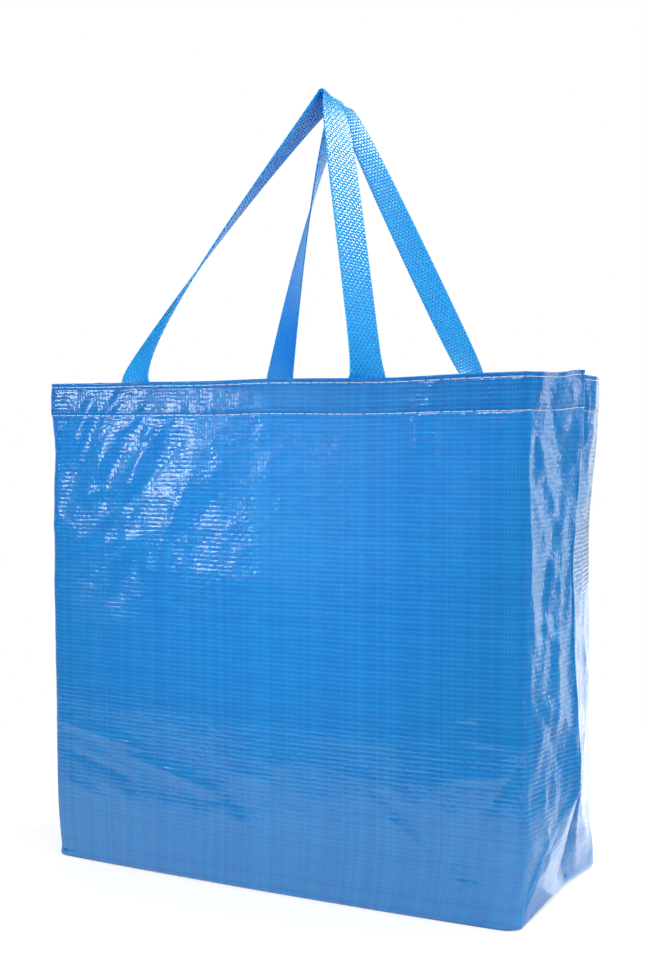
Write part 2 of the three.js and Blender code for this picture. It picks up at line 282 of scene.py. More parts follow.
def crease(x, z, ends, width, height):
    """One sharp crease along a straight line between two points, tapered at both ends."""
    (x0, z0), (x1, z1) = ends
    length = np.hypot(x1 - x0, z1 - z0)
    along = ((x - x0) * (x1 - x0) + (z - z0) * (z1 - z0)) / length ** 2
    off = ((x - x0) * (z1 - z0) - (z - z0) * (x1 - x0)) / length
    taper = smooth(-0.15, 0.2, along) * (1 - smooth(0.8, 1.15, along))
    return height * taper * np.exp(-np.abs(off) / width)


# Creases of the front panel: ends (x, z), width, height
FRONT_CREASES = (
    (((-188, 393), (-155, 444)), 3.0, 1.3), (((-178, 398), (-140, 444)), 2.6, -0.9),
    (((-130, 398), (-106, 418)), 3.4, 1.2), (((-164, 342), (-98, 420)), 6.0, 1.7),
    (((-148, 338), (-84, 398)), 4.0, -0.9), (((-206, 343), (-174, 350)), 2.6, 1.1),
    (((-124, 270), (-76, 372)), 8.0, 0.9), (((-214, 368), (-196, 412)), 4.0, 0.8),
    (((142, 450), (144, 380)), 4.0, 1.3), (((160, 450), (158, 382)), 3.0, -1.0),
    (((196, 440), (194, 60)), 12.0, 1.0), (((178, 150), (219, 143)), 2.5, -0.8),
    (((170, 168), (218, 180)), 3.0, 0.9), (((176, 122), (218, 124)), 3.0, 0.9),
    (((-232, 131), (-132, 113)), 4.0, 1.5), (((-164, 110), (-56, 84)), 5.0, 1.3),
    (((-230, 106), (-150, 86)), 4.0, -1.3), (((-226, 76), (-176, 60)), 5.0, 0.9),
    (((-60, 70), (40, 34)), 8.0, 1.0), (((110, 84), (200, 20)), 7.0, 1.2),
    (((226, 130), (160, 30)), 7.0, -1.2),
)
# Creases of both sides, lower on the left one: ends (distance behind the front, z), width, height
SIDE_CREASES = (
    (((16, 404), (66, 322)), 4.0, 2.4), (((30, 446), (60, 392)), 3.0, -1.6),
    (((12, 352), (74, 268)), 5.0, 1.6), (((60, 330), (24, 196)), 5.0, -1.8),
    (((18, 262), (80, 210)), 4.0, 1.5), (((76, 300), (54, 150)), 4.0, 1.5),
    (((14, 190), (70, 118)), 5.0, -1.6), (((40, 176), (28, 70)), 4.0, 1.7),
    (((60, 146), (66, 70)), 3.0, -1.4), (((26, 120), (52, 34)), 4.0, 1.4),
)


def smoothed(grid, times):
    """A grid of points blurred a little along both directions, with its first and last rows kept."""
    for _ in range(times):
        grid = 0.5 * grid + 0.25 * (np.roll(grid, 1, 1) + np.roll(grid, -1, 1))
        between = 0.5 * grid[1:-1] + 0.25 * (grid[2:] + grid[:-2])
        grid = np.concatenate([grid[:1], between, grid[-1:]])
    return grid


def normals(grid):
    """Unit outward normals of a grid that is closed along its columns: across times up."""
    across = np.roll(grid, -1, 1) - np.roll(grid, 1, 1)
    up = np.gradient(grid, axis=0)
    n = np.cross(across, up)
    return n / np.linalg.norm(n, axis=2, keepdims=True)


def body_rows():
    """Heights of the grid rows, dense at the bottom fold, the lower seam and the rim."""
    return np.concatenate([
        [0.0, 0.8, FOOT_FOLD, 4.5, 7.0], np.linspace(10, 415, 138),
        [417.2, 418.4, 419.2, ROW_LOW, 420.8, 422], np.linspace(424.5, 442, 7),
        [444, 445.4, ROW_HIGH, 447.4, 448.8, H]])


def wrinkle_move(x, side_b, level, around):
    """How far each point of the skin moves along its normal.

    x is across the front, side_b behind the front panel, level the height and around the way
    along the outline.
    """
    on_front = smooth(14, 4, side_b)
    on_side = smooth(2, 16, side_b) * smooth(2, 16, depth(level) - side_b)
    upper_left = bump(x, -160, 85) * smooth(210, 320, level)
    foot = smooth(130, 20, level)
    hem = smooth(ROW_LOW - 3, ROW_LOW + 1, level)

    # Broad undulation, calmer in the stiff hem
    move = 1.5 * noise(around, level, 120, 11) + 0.8 * noise(around, level, 55, 12)
    move = move * (1 - 0.6 * hem)
    # Crisp random ridges, stronger at the upper left, on the sides and at the foot
    rough = 0.16 + 0.2 * on_front * upper_left + 0.3 * on_side + 0.3 * foot * on_front
    move += rough * (1.8 * ridges(around, level, 42, 13) + 1.2 * ridges(around, level, 21, 14))
    # Long upright streaks on the sides, weaker near the foot and behind the middle fold
    streaks = (2.4 * noise(around + 0.22 * level, level / 4, 24, 17)
               + 1.3 * noise(around - 0.3 * level, level / 4, 13, 18)
               + 1.2 * ridges(around + 0.1 * level, level / 3.2, 30, 22))
    near_foot = 0.35 + 0.65 * smooth(60, 130, level)
    behind_fold = 1 - 0.6 * smooth(100, 112, side_b)
    move += on_side * near_foot * behind_fold * streaks
    # Slanting pulls at the upper left of the front panel
    slant, across = 0.5 * x + 0.87 * level, 0.87 * x - 0.5 * level
    pulls = 1.5 * noise(across, slant / 4, 20, 19) + 0.6 * noise(across, slant / 3, 10, 20)
    move += on_front * upper_left * pulls
    # The single creases
    for ends, width, height in FRONT_CREASES:
        move += on_front * crease(x, level, ends, width, height)
    for ends, width, height in SIDE_CREASES:
        move += np.where(x > 0, 1.0, 0.8) * on_side * crease(side_b, level, ends, width, height)
    # The hem stands proud, and the threads pull a groove into it
    move += 0.5 * hem
    pull = 1 + 0.5 * noise(around, level, 9, 15)
    move -= pull * (0.55 * bump(level, ROW_LOW, 1.3) + 0.45 * bump(level, ROW_HIGH, 1.1))
    # Nothing moves at the floor
    return move * smooth(0, 12, level)


def body_surface():
    """Outer skin: outlines stacked from the floor to the rim, then moved along their normals.

    Near the floor each outline shrinks along a quarter circle, which is the soft bottom fold.
    Returns the grid of points, the way along the outline of its columns and its rows' heights.
    """
    z = body_rows()
    grid = smoothed(outline(z), 2)
    turn = np.minimum(FOOT_FOLD - z[:, None, None], FOOT_FOLD).clip(0) / FOOT_FOLD
    quarter = 1 - np.sqrt(1 - np.minimum(turn, 1) ** 2 + 1e-9)
    inward = np.array([1 / 230, 1 / 98, 0]) * FOOT_FOLD * quarter
    grid = grid * (1 - inward)

    step = np.linalg.norm(np.diff(grid, axis=1, append=grid[:, :1]), axis=2).mean(0)
    around = np.concatenate([[0], np.cumsum(step)[:-1]])[None] * (LOOP / step.sum())
    level = z[:, None]
    move = wrinkle_move(grid[..., 0], grid[..., 1] - front_y(level), level, around)
    grid = grid + normals(grid) * move[..., None]
    grid[..., 2] += 0.9 * noise(around, level, 60, 16) * smooth(380, H, level)
    grid[..., 1] += ORIGIN_Y
    grid[..., 2] = np.maximum(grid[..., 2], 0)
    return grid, around, z


def body_mesh(name, grid, around, z):
    """Closed shell: pole under the floor panel, up the skin, over the rim, down the inner skin."""
    n = normals(grid)
    below = len(z) - WHOLE_ROWS
    inner_rows = np.concatenate([np.arange(3, below, 3), np.arange(below, len(z))])[::-1]
    wall = lerp(WALL, HEM_WALL, smooth(ROW_LOW - 2, ROW_LOW + 0.5, z))[inner_rows, None, None]
    inner = grid[inner_rows] - n[inner_rows] * wall
    rim = grid[-1:] - n[-1:] * HEM_WALL * np.array([0.15, 0.5, 0.85])[:, None, None]
    rim[..., 2] += np.array([0.35, 0.5, 0.35])[:, None]
    middle = np.array([0, ORIGIN_Y])

    def floor(shrink, level):
        ring = grid[:1] * 1.0
        ring[..., :2] = middle + (ring[..., :2] - middle) * (1 - shrink)
        ring[..., 2] = level
        return ring

    under = np.concatenate([floor(s, 0.0) for s in (0.96, 0.6, 0.3, 0.12, 0.04)])
    over = np.concatenate([floor(s, WALL + 0.4) for s in (0.03, 0.12, 0.3, 0.6, 0.96)])
    rings = np.concatenate([under, grid, rim, inner, over])

    # Upright texture coordinate: on below 0 under the floor, and on past the rim down the inside
    floor_v = np.array([20, 60, 100, 140, 170])
    v = np.concatenate([-floor_v[::-1], z, [H + 0.4, H + 0.8, H + 1.2], 2 * H - z[inner_rows],
                        2 * H + floor_v])
    size = rings.shape[:2]
    return ring_mesh(name, rings, np.broadcast_to(around, size),
                     np.broadcast_to(v[:, None], size), LOOP)


def ring_mesh(name, rings, u, v, loop):
    """Closed mesh from a stack of closed rings, with a pole at each end and a UV map in metres."""
    rows, columns = rings.shape[:2]
    points = np.concatenate([rings.reshape(-1, 3), rings[:1].mean(1), rings[-1:].mean(1)]) * MM
    i = np.arange(columns)
    j = (i + 1) % columns
    r = np.arange(rows - 1)[:, None] * columns
    quads = np.stack([r + i, r + j, r + columns + j, r + columns + i], -1).reshape(-1, 4)
    last = (rows - 1) * columns
    low = np.stack([j, i, np.full(columns, rows * columns)], -1)
    high = np.stack([last + i, last + j, np.full(columns, rows * columns + 1)], -1)
    faces = quads.tolist() + low.tolist() + high.tolist()
    mesh = bpy.data.meshes.new(name)
    mesh.from_pydata(points.tolist(), [], faces)

    wide = np.concatenate([u, np.full((rows, 1), loop)], 1)
    tall = np.concatenate([v, v[:, :1]], 1)
    a, b = np.arange(rows - 1)[:, None], i[None]
    corners = [(a, b), (a, b + 1), (a + 1, b + 1), (a + 1, b)]
    uv_quads = np.stack([np.stack([wide[p], tall[p]], -1) for p in corners], 2).reshape(-1, 2)

    def cap(row, pole_v, order):
        ends = [(wide[row, i + k], tall[row, i + k]) for k in order]
        pole = (wide[row, i], np.full(columns, pole_v))
        return np.stack([np.stack(p, -1) for p in ends + [pole]], 1).reshape(-1, 2)

    uv_low, uv_high = cap(0, tall[0, 0] - 2, (1, 0)), cap(rows - 1, tall[-1, 0] + 2, (0, 1))
    layer = mesh.uv_layers.new(name="surface")
    layer.data.foreach_set("uv", (np.concatenate([uv_quads, uv_low, uv_high]) * MM).ravel())
    mesh.shade_smooth()
    mesh.validate()
    mesh.update()
    return mesh


def piece(name, mesh, material, slot, *nodes):
    """The finished piece: rides on the part's one body and stands for its solids."""
    obj = bpy.data.objects.new(name, mesh)
    bpy.context.scene.collection.objects.link(obj)
    mesh.materials.append(material)
    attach(obj, "root")
    if nodes:
        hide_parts(*nodes)


# Handles


def hem_inside_y(x, z, front):
    """Inside face of the hem beside a handle end."""
    inset = CORNER if front else CORNER_BACK
    xl = (-corner_x(z, False) if front else -back_x(z)) + inset
    xr = (corner_x(z, True) if front else back_x(z)) - inset
    swell = panel_bulge((x - xl) / (xr - xl), z)
    if front:
        return front_y(z) - swell + HEM_WALL
    return front_y(z) + depth(z) + 0.8 * swell - HEM_WALL


def bezier(p0, p1, p2, p3, u):
    """Cubic curve from p0 to p3 that p1 and p2 pull."""
    u = u[:, None]
    return (1 - u) ** 3 * p0 + 3 * u * (1 - u) ** 2 * p1 + 3 * u * u * (1 - u) * p2 + u ** 3 * p3


def web_turn(u, early, hold, quick, late):
    """Turn of the webbing in degrees, from the rim (0) to the top fold (1).

    It goes from early to hold within a share quick of the way, and on to 90 at the fold, the later
    the higher late is.
    """
    def settle(v):
        return hold + (early - hold) * np.exp(-v / quick)
    return settle(u) + (90 - settle(1)) * u ** late


def leg(side, front, apex, x, early, stand, lean, hold, quick, late):
    """One leg of a handle: flat on the hem, then a cubic curve up to the top fold.

    stand and lean are the curve's inner points, as shares of the way from the rim to the apex:
    across, from the hem inwards, and up. The other four are for web_turn.
    """
    sign = -1 if front else 1
    half = WEB_WIDTH / 2
    across = hem_inside_y(x + half, H, front) - hem_inside_y(x - half, H, front)
    seat_angle = side * np.degrees(np.arctan2(across, WEB_WIDTH))

    def seat_y(z):
        return hem_inside_y(x, z, front) - sign * (SEAT_GAP + WEB_THICK / 2)

    def drawn_in(angle):
        return -sign * (half + 0.5) * np.sin(np.radians(np.maximum(angle, 0)))

    drop = np.linspace(SEAT_LENGTH, 0, 40)[:-1]
    angle = early * smooth(20, 0, drop)
    seat = np.stack([x + 0 * drop, seat_y(H - drop) + drawn_in(angle), H - drop], -1)
    u = np.linspace(0, 1, 400)
    foot = np.array([x, seat_y(H) + drawn_in(early), H])
    way = np.array(apex) - foot
    top = np.array([apex[0] + side * FOLD_HALF, apex[1], apex[2] - FOLD_DROP])
    rise = bezier(foot, foot + way * stand, foot + way * lean, top, u)
    turn = web_turn(u, early, hold, quick, late) + seat_angle * np.maximum(0, 1 - 8 * u)
    return np.concatenate([seat, rise]), np.concatenate([angle + seat_angle, turn])


def strap_mesh(name, front, apex, left, right, seed):
    """Flat ribbon along leg, top fold and leg.

    The section is a thin rectangle with round edges. It cups a little, its edges waver, and each
    pick of the weave shows as a small scallop on the edges and a low rib on the faces.
    """
    # Path and turn, evenly spaced
    up, up_angle = leg(-1, front, apex, **left)
    down, down_angle = leg(1, front, apex, **right)
    start = (up[-1] - up[-2]) / np.linalg.norm(up[-1] - up[-2])
    end = (down[-1] - down[-2]) / np.linalg.norm(down[-1] - down[-2])
    fold = bezier(up[-1], up[-1] + 4.6 * start, down[-1] + 4.6 * end, down[-1],
                  np.linspace(0, 1, 40)[1:-1])
    path = np.concatenate([up, fold, down[::-1]])
    angle = np.concatenate([up_angle, np.full(len(fold), 90.0), 180 - down_angle[::-1]])
    length = np.concatenate([[0], np.cumsum(np.linalg.norm(np.diff(path, axis=0), axis=1))])
    along = np.linspace(0, length[-1], int(length[-1] / (WEB_PICK / 4)))
    path = np.stack([np.interp(along, length, path[:, k]) for k in range(3)], -1)
    angle = np.radians(np.interp(along, length, angle))
    for _ in range(6):
        path[1:-1] = 0.5 * path[1:-1] + 0.25 * (path[2:] + path[:-2])
        angle[1:-1] = 0.5 * angle[1:-1] + 0.25 * (angle[2:] + angle[:-2])

    # Directions along, across and out of the ribbon
    t = np.gradient(path, axis=0)
    t /= np.linalg.norm(t, axis=1, keepdims=True)
    tilt = FOLD_TILT * np.sin(angle) ** 8 if front else 0 * angle
    w = np.stack([np.cos(angle), -np.sin(angle), tilt], -1)
    w -= t * np.sum(t * w, 1, keepdims=True)
    w /= np.linalg.norm(w, axis=1, keepdims=True)
    n = np.cross(t, w)

    # Section: lower face, right edge, upper face, left edge
    flat = np.linspace(-1, 1, STRAP_COLUMNS)
    bend = np.radians([67.5, 45, 22.5, 0, -22.5, -45, -67.5])
    half, thick = WEB_WIDTH / 2 - WEB_THICK / 2, WEB_THICK / 2
    wide = np.concatenate([flat * half, half + thick * np.cos(bend[::-1]),
                           flat[::-1] * half, -half - thick * np.cos(bend)])
    tall = np.concatenate([0 * flat - thick, thick * np.sin(bend[::-1]),
                           0 * flat + thick, thick * np.sin(bend)])

    # Relief
    seam = np.minimum(along, along[-1] - along)
    free = smooth(SEAT_LENGTH, SEAT_LENGTH + 60, seam)[:, None]
    pick = np.cos(2 * np.pi * along / WEB_PICK)[:, None]
    drift = noise(along + 40 * seed, 0 * along, 70, seed)[:, None]
    edge = np.abs(wide[None]) / (WEB_WIDTH / 2)
    stretch = 1 + (0.012 * pick + 0.006 * drift) * edge ** 6
    cup = free * (0.5 * drift + 0.35) * (1 - edge ** 2)
    rib = 0.07 * pick * np.sign(tall)[None] * (1 - edge ** 8)
    rings = (path[:, None] + w[:, None] * (wide[None] * stretch)[..., None]
             + n[:, None] * (tall[None] + cup + rib)[..., None])
    rings[..., 1] += ORIGIN_Y

    around = np.concatenate([[0], np.cumsum(np.hypot(np.diff(wide), np.diff(tall)))])
    closing = np.hypot(wide[0] - wide[-1], tall[0] - tall[-1])
    size = rings.shape[:2]
    return ring_mesh(name, rings, np.broadcast_to(around, size),
                     np.broadcast_to(along[:, None], size), around[-1] + closing)


# Seam threads


def stitches(centre, tangent, normal):
    """Low arches of thread: a row of half buried bent rods, one per stitch.

    Each is five rings and a point at each end; the middle stands proud and both ends dive into
    the sheet.
    """
    s = np.array([-1, -0.8, 0, 0.8, 1])
    a = np.linspace(0, 2 * np.pi, ROD_SIDES + 1)[:-1]
    lateral = np.cross(normal, tangent)
    spine = (centre[:, None] + tangent[:, None] * (s * STITCH_LENGTH / 2)[None, :, None]
             + normal[:, None] * (0.1 - 0.7 * s ** 8)[None, :, None])
    radius = (THREAD / 2 * (1 - 0.25 * s ** 4))[:, None]
    wide, tall = (radius * np.cos(a))[None, :, :, None], (0.8 * radius * np.sin(a))[None, :, :, None]
    ring = spine[:, :, None] + lateral[:, None, None] * wide + normal[:, None, None] * tall

    count, skin = len(centre), len(s) * ROD_SIDES
    points = np.concatenate([ring.reshape(count, skin, 3), spine[:, :1], spine[:, -1:]], 1)
    i = np.arange(ROD_SIDES)
    j = (i + 1) % ROD_SIDES
    r = np.arange(len(s) - 1)[:, None] * ROD_SIDES
    last = skin - ROD_SIDES
    quads = np.stack([r + i, r + j, r + ROD_SIDES + j, r + ROD_SIDES + i], -1).reshape(-1, 4)
    low = np.stack([j, i, np.full(ROD_SIDES, skin)], -1)
    high = np.stack([last + i, last + j, np.full(ROD_SIDES, skin + 1)], -1)
    base = np.arange(count)[:, None, None] * (skin + 2)
    quads = (quads[None] + base).reshape(-1, 4)
    ends = (np.concatenate([low, high])[None] + base).reshape(-1, 3)
    return points.reshape(-1, 3), quads, ends


def seam_row(grid, z, height, inside):
    """Places, directions and outward normals of the stitches along one row of the hem."""
    row = int(np.argmin(np.abs(z - height)))
    line, n = grid[row], normals(grid)[row]
    closed = np.concatenate([line, line[:1]])
    length = np.concatenate([[0], np.cumsum(np.linalg.norm(np.diff(closed, axis=0), axis=1))])
    count = int(length[-1] / STITCH_PITCH)
    rng = np.random.default_rng(21 + row)
    at = (np.arange(count) + 0.1 * rng.uniform(-1, 1, count)) * length[-1] / count
    at %= length[-1]

    def along(values):
        ring = np.concatenate([values, values[:1]])
        return np.stack([np.interp(at, length, ring[:, k]) for k in range(3)], -1)

    step = along(np.roll(line, -1, 0) - np.roll(line, 1, 0))
    tangent = step / np.linalg.norm(step, axis=1, keepdims=True)
    normal = along(n)
    normal -= tangent * np.sum(tangent * normal, 1, keepdims=True)
    normal /= np.linalg.norm(normal, axis=1, keepdims=True)
    centre = along(line) + normal * (THREAD * 0.25)
    centre[:, 2] += 0.15 * rng.uniform(-1, 1, count)
    if inside:
        # On the hem's inner face, or on the webbing where a handle end lies over it
        sewn = np.zeros(count)
        ends = [(x, True) for x in FRONT_ENDS] + [(x, False) for x in BACK_ENDS]
        for x, front in ends:
            facing = centre[:, 1] < 0 if front else centre[:, 1] > 0
            sewn = np.maximum(sewn, facing * (np.abs(centre[:, 0] - x) < WEB_WIDTH / 2))
        reach = HEM_WALL + THREAD * 0.5 + sewn * (SEAT_GAP + WEB_THICK)
        centre -= normal * reach[:, None]
        normal = -normal
    return centre, tangent, normal


def thread_mesh(name, grid, z):
    """Stitches of both rows outside and of the lower row inside, as one mesh."""
    points, faces, first = [], [], 0
    for height, inside in ((ROW_LOW, False), (ROW_LOW, True), (ROW_HIGH, False)):
        row, quads, ends = stitches(*seam_row(grid, z, height, inside))
        faces += (quads + first).tolist() + (ends + first).tolist()
        points.append(row)
        first += len(row)
    mesh = bpy.data.meshes.new(name)
    mesh.from_pydata((np.concatenate(points) * MM).tolist(), [], faces)
    mesh.shade_smooth()
    mesh.update()
    return mesh


# Materials

SHINE_THROUGH = (0.25, 0.6, 1.0)   # subsurface radius of the blue plastics: blue light goes furthest
WEAVE_HEIGHT = 0.00022             # relief of the sheet's tapes
CRINKLE_HEIGHT = 0.0014            # relief of its film
WEB_HEIGHT = 0.0004                # relief of the webbing's picks and pits
# Sizes of the patterns, as counts in a metre
TAPE_WANDER = 12.0                 # tapes drift from true every 83 mm
TAPE_SLACK = (240.0, 250.0)        # each crossing, about 4 mm each way, is looser or tighter
TAPE_GLINT_PATCHES = (30.0, 250.0)          # the painted highlight on a weft tape's edge comes and goes every 33 mm
FILM_CRINKLE = 38.0                # crinkles of the film, 26 mm
# One twist in 2.4 mm of thread: the wave's bands are 0.63 / TWIST apart. A real thread's twist is
# under 1 mm, which the render wouldn't show.
TWIST = 260.0


def linear(text):
    """sRGB hex value to linear colour."""
    c = np.array([int(text[k:k + 2], 16) for k in (1, 3, 5)]) / 255
    c = np.where(c <= 0.04045, c / 12.92, ((c + 0.055) / 1.055) ** 2.4)
    return (*c.tolist(), 1.0)


def plug(tree, socket, value):
    """Give an input a value, or link it to a socket or to a node's first output."""
    if isinstance(value, bpy.types.Node):
        value = value.outputs[0]
    if isinstance(value, bpy.types.NodeSocket):
        tree.links.new(value, socket)
    else:
        socket.default_value = value


def add_node(tree, kind, *values, **named):
    """New shader node, such as "Bump", or "Math SINE" for one with its operation.

    values go to its inputs in order. Of the named ones, those in lower case are its settings, and
    the others are inputs. Both take what plug takes.
    """
    kind, *operation = kind.split()
    made = tree.nodes.new("ShaderNode" + kind)
    if operation:
        made.operation = operation[0]
    for key, value in named.items():
        if key.islower():
            setattr(made, key, value)
    for socket, value in zip(made.inputs, values):
        plug(tree, socket, value)
    sockets = {socket.identifier.replace(" ", "_"): socket for socket in made.inputs}
    for key, value in named.items():
        if not key.islower():
            plug(tree, sockets[key], value)
    return made


class Finish:
    """A material with one Principled shader."""

    def __init__(self, name, **sockets):
        self.material = bpy.data.materials.new(name)
        self.material.use_nodes = True
        self.tree = self.material.node_tree
        self.feed(**sockets)

    def node(self, kind, *values, **named):
        """New node of this material, as add_node makes it."""
        return add_node(self.tree, kind, *values, **named)

    def feed(self, **sockets):
        """Give the shader's inputs their values or links."""
        shader = self.tree.nodes["Principled BSDF"]
        for key, value in sockets.items():
            plug(self.tree, shader.inputs[key.replace("_", " ")], value)


def woven_sheet():
    """Woven polypropylene tape fabric under a clear glossy film, mid blue.

    Flat tapes 4 mm wide show as horizontal ribs with fainter upright ones. The film is the coat. It
    follows the tapes less than the fabric does on the panels, and crinkles most on the sides, so
    highlights break into short glints.
    """
    m = Finish("laminated_woven_polypropylene", Roughness=0.45, IOR=1.45, Specular_IOR_Level=0.1,
               Coat_Weight=1.0, Coat_Roughness=0.07, Subsurface_Weight=0.6,
               Subsurface_Radius=SHINE_THROUGH, Subsurface_Scale=0.003)
    uv = m.node("UVMap", uv_map="surface")
    along_u, along_v, _ = m.node("SeparateXYZ", uv).outputs
    wander = m.node("TexNoise", uv, noise_dimensions="2D", Scale=TAPE_WANDER, Detail=2.0)

    def tapes(way, width):
        """Count of the tapes along one way of the surface; they wander by up to half a tape."""
        return m.node("Math MULTIPLY_ADD", wander, 0.5, m.node("Math MULTIPLY", way, 1 / (width * MM)))

    def ribs(count, roundness):
        """A rounded rib on each tape: 1 in its middle and 0 at its edges."""
        wave = m.node("Math SINE", m.node("Math MULTIPLY", count, np.pi))
        return m.node("Math POWER", m.node("Math ABSOLUTE", wave), roundness)

    def patches(across, up):
        """Soft noise with so many patches in a metre each way."""
        scaled = m.node("VectorMath MULTIPLY", uv, (across, up, 1.0))
        return m.node("TexNoise", scaled, noise_dimensions="2D", Detail=1.0, Scale=1.0)

    def chance(count):
        """One random value for each tape."""
        return m.node("TexWhiteNoise", noise_dimensions="1D", W=m.node("Math FLOOR", count))

    # Relief: pillows where tapes cross, uneven in tension, under the crinkled film
    across, up = tapes(along_u, WARP_TAPE), tapes(along_v, WEFT_TAPE)
    weft, warp = ribs(up, 0.6), ribs(across, 0.5)
    pillow = m.node("Math MULTIPLY", weft, m.node("Math MULTIPLY_ADD", warp, 0.62, 0.38))
    relief = m.node("Math MULTIPLY_ADD", patches(*TAPE_SLACK), 1.9, pillow)
    film = m.node("TexNoise", uv, noise_dimensions="2D", noise_type="RIDGED_MULTIFRACTAL",
                  Scale=FILM_CRINKLE, Detail=3.0, Roughness=0.55)
    place = m.node("SeparateXYZ", m.node("TexCoord").outputs["Object"])
    side = m.node("MapRange", m.node("Math ABSOLUTE", place), From_Min=0.226, From_Max=0.236)
    rumple = m.node("Math MULTIPLY_ADD", side, 0.45, 0.3)

    def crinkled(strength):
        """Normal of the weave at a strength, with the film's crinkles over it."""
        weave = m.node("Bump", Strength=strength, Distance=WEAVE_HEIGHT, Height=relief)
        return m.node("Bump", Strength=rumple, Distance=CRINKLE_HEIGHT, Height=film, Normal=weave)

    m.feed(Normal=crinkled(0.6), Coat_Normal=crinkled(m.node("Math MULTIPLY_ADD", side, 0.55, 0.42)))

    # Colour: tapes differ a little at random. Painted highlights are pale lines along the tapes'
    # edges, in patches and fading towards the foot. Painted shade makes the hem darker, where its
    # doubled sheet lets less light through
    # Patches where the painted highlight on the weft tapes' edges shows
    glint_patches = patches(*TAPE_GLINT_PATCHES)
    clear = m.node("MapRange", along_v, From_Min=0.03, From_Max=0.12, To_Min=0.3, To_Max=1.0)
    row, column = chance(up), chance(across)
    # Painted highlight: a pale line along each weft tape's edge, in patches, fading towards the foot
    edge = m.node("Math MULTIPLY", m.node("Math SUBTRACT", 1.0, weft),
                  m.node("Math MULTIPLY", glint_patches, clear))
    # Painted highlight: a paler line along each upright tape's edge
    seam = m.node("Math MULTIPLY", m.node("Math SUBTRACT", 1.0, warp), column)
    from_rim = m.node("Math ABSOLUTE", m.node("Math SUBTRACT", along_v, H * MM))
    # Painted shade: the hem is darker, where its doubled sheet lets less light through from inside
    doubled_hem_shade = m.node("Math LESS_THAN", from_rim, HEM * MM)
    shade = 0.5
    for part, weight in ((row, 0.1), (column, 0.1), (edge, 0.9), (seam, 0.35), (doubled_hem_shade, -0.12)):
        shade = m.node("Math MULTIPLY_ADD", part, weight, shade)
    blue = m.node("Mix", shade, data_type="RGBA", A_Color=linear("#124898"), B_Color=linear("#1F88CC"))
    m.feed(Base_Color=blue.outputs[2])
    return m.material


def webbing():
    """Woven polypropylene webbing, bright blue, waxy: picks crosswise, and pits between cords,
    darkened with painted shade.
    """
    m = Finish("polypropylene_webbing", IOR=1.6, Specular_Tint=linear("#F4FF66"),
               Subsurface_Weight=0.9, Subsurface_Radius=SHINE_THROUGH, Subsurface_Scale=0.008)
    along_u, along_v, _ = m.node("SeparateXYZ", m.node("UVMap", uv_map="surface")).outputs
    cords = m.node("Math SINE", m.node("Math MULTIPLY", along_u, np.pi / (WEB_CORD * MM)))
    picks = m.node("Math COSINE", m.node("Math MULTIPLY", along_v, np.pi / (WEB_PICK * MM)))
    pit = m.node("Math MAXIMUM", m.node("Math MULTIPLY", cords, picks), 0.0)
    pick = m.node("Math POWER", m.node("Math ABSOLUTE", picks), 0.6)
    relief = m.node("Math MULTIPLY_ADD", pit, -0.8, m.node("Math MULTIPLY_ADD", pick, 0.5, 0.5))
    # Painted shade: the pits between the cords are darker
    blue = m.node("Mix", m.node("Math MULTIPLY_ADD", pit, -0.85, 0.86), data_type="RGBA",
                  A_Color=linear("#0454AC"), B_Color=linear("#1AA0E8"))
    m.feed(Normal=m.node("Bump", Strength=0.6, Distance=WEB_HEIGHT, Height=relief),
           Roughness=m.node("Math MULTIPLY_ADD", pit, 0.5, 0.3), Base_Color=blue.outputs[2])
    return m.material


def sewing_thread():
    """Twisted polyester sewing thread, off white, with a fine slanting twist and painted shade in its
    grooves.
    """
    m = Finish("polyester_thread", Roughness=0.6, IOR=1.5)
    place = m.node("TexCoord").outputs["Object"]
    twist = m.node("TexWave", place, wave_type="BANDS", bands_direction="DIAGONAL", Scale=TWIST)
    # Painted shade: the thread is darker and bluer in the twist's grooves
    white = m.node("Mix", twist.outputs[1], data_type="RGBA",
                   A_Color=linear("#B9C4D0"), B_Color=linear("#F2F5F7"))
    m.feed(Base_Color=white.outputs[2],
           Normal=m.node("Bump", Strength=0.4, Distance=0.0002, Height=twist.outputs[1]))
    return m.material


# Make the pieces

grid, around, z = body_surface()
piece("bag_shell", body_mesh("bag_shell", grid, around, z), woven_sheet(), "sheet", "bag_body")

web = webbing()
front_strap = strap_mesh(
    "front_strap", True, (*FRONT_APEX, H + FRONT_RISE),
    dict(x=FRONT_ENDS[0], early=0, hold=52, quick=0.22, late=2,
         stand=(0.006, 0, 0.137), lean=(0.806, 0.619, 0.786)),
    dict(x=FRONT_ENDS[1], early=42, hold=63, quick=0.05, late=6,
         stand=(0.092, 0, 0.248), lean=(0.789, 0.81, 0.87)), 31)
back_strap = strap_mesh(
    "back_strap", False, (*BACK_APEX, H + BACK_RISE),
    dict(x=BACK_ENDS[0], early=0, hold=92, quick=0.8, late=3,
         stand=(0.108, 0, 0.234), lean=(0.61, 0.833, 0.675)),
    dict(x=BACK_ENDS[1], early=78, hold=57, quick=0.08, late=3,
         stand=(0.217, 0, 0.171), lean=(0.887, 0.93, 0.913)), 32)
piece("front_strap", front_strap, web, "webbing", "handle_front")
piece("back_strap", back_strap, web, "webbing", "handle_back")
piece("hem_threads", thread_mesh("hem_threads", grid, z), sewing_thread(), "webbing")


# Studio

WHITE_WAY = (-0.6, 1.0, 0.0)   # mirror rays that go this way see the white surroundings
WHITE_FROM, WHITE_FULL = 0.5, 0.88   # how closely they have to: dot products, none to full
RIGHT_SIDE = (0.24, 0, 0)      # foot of the side panel, which mirrors the table behind it
NEAR_GLOW = 0.47               # the table's own glow at the bag, where its shadow shows; 1 far away
CAMERA_PLACE = (0.603, -1.1347, 0.404)
CAMERA_TURN = (27.83, 2.27, -0.34)   # degrees to the left, down, and round the view
CAMERA_LENS = 51.1


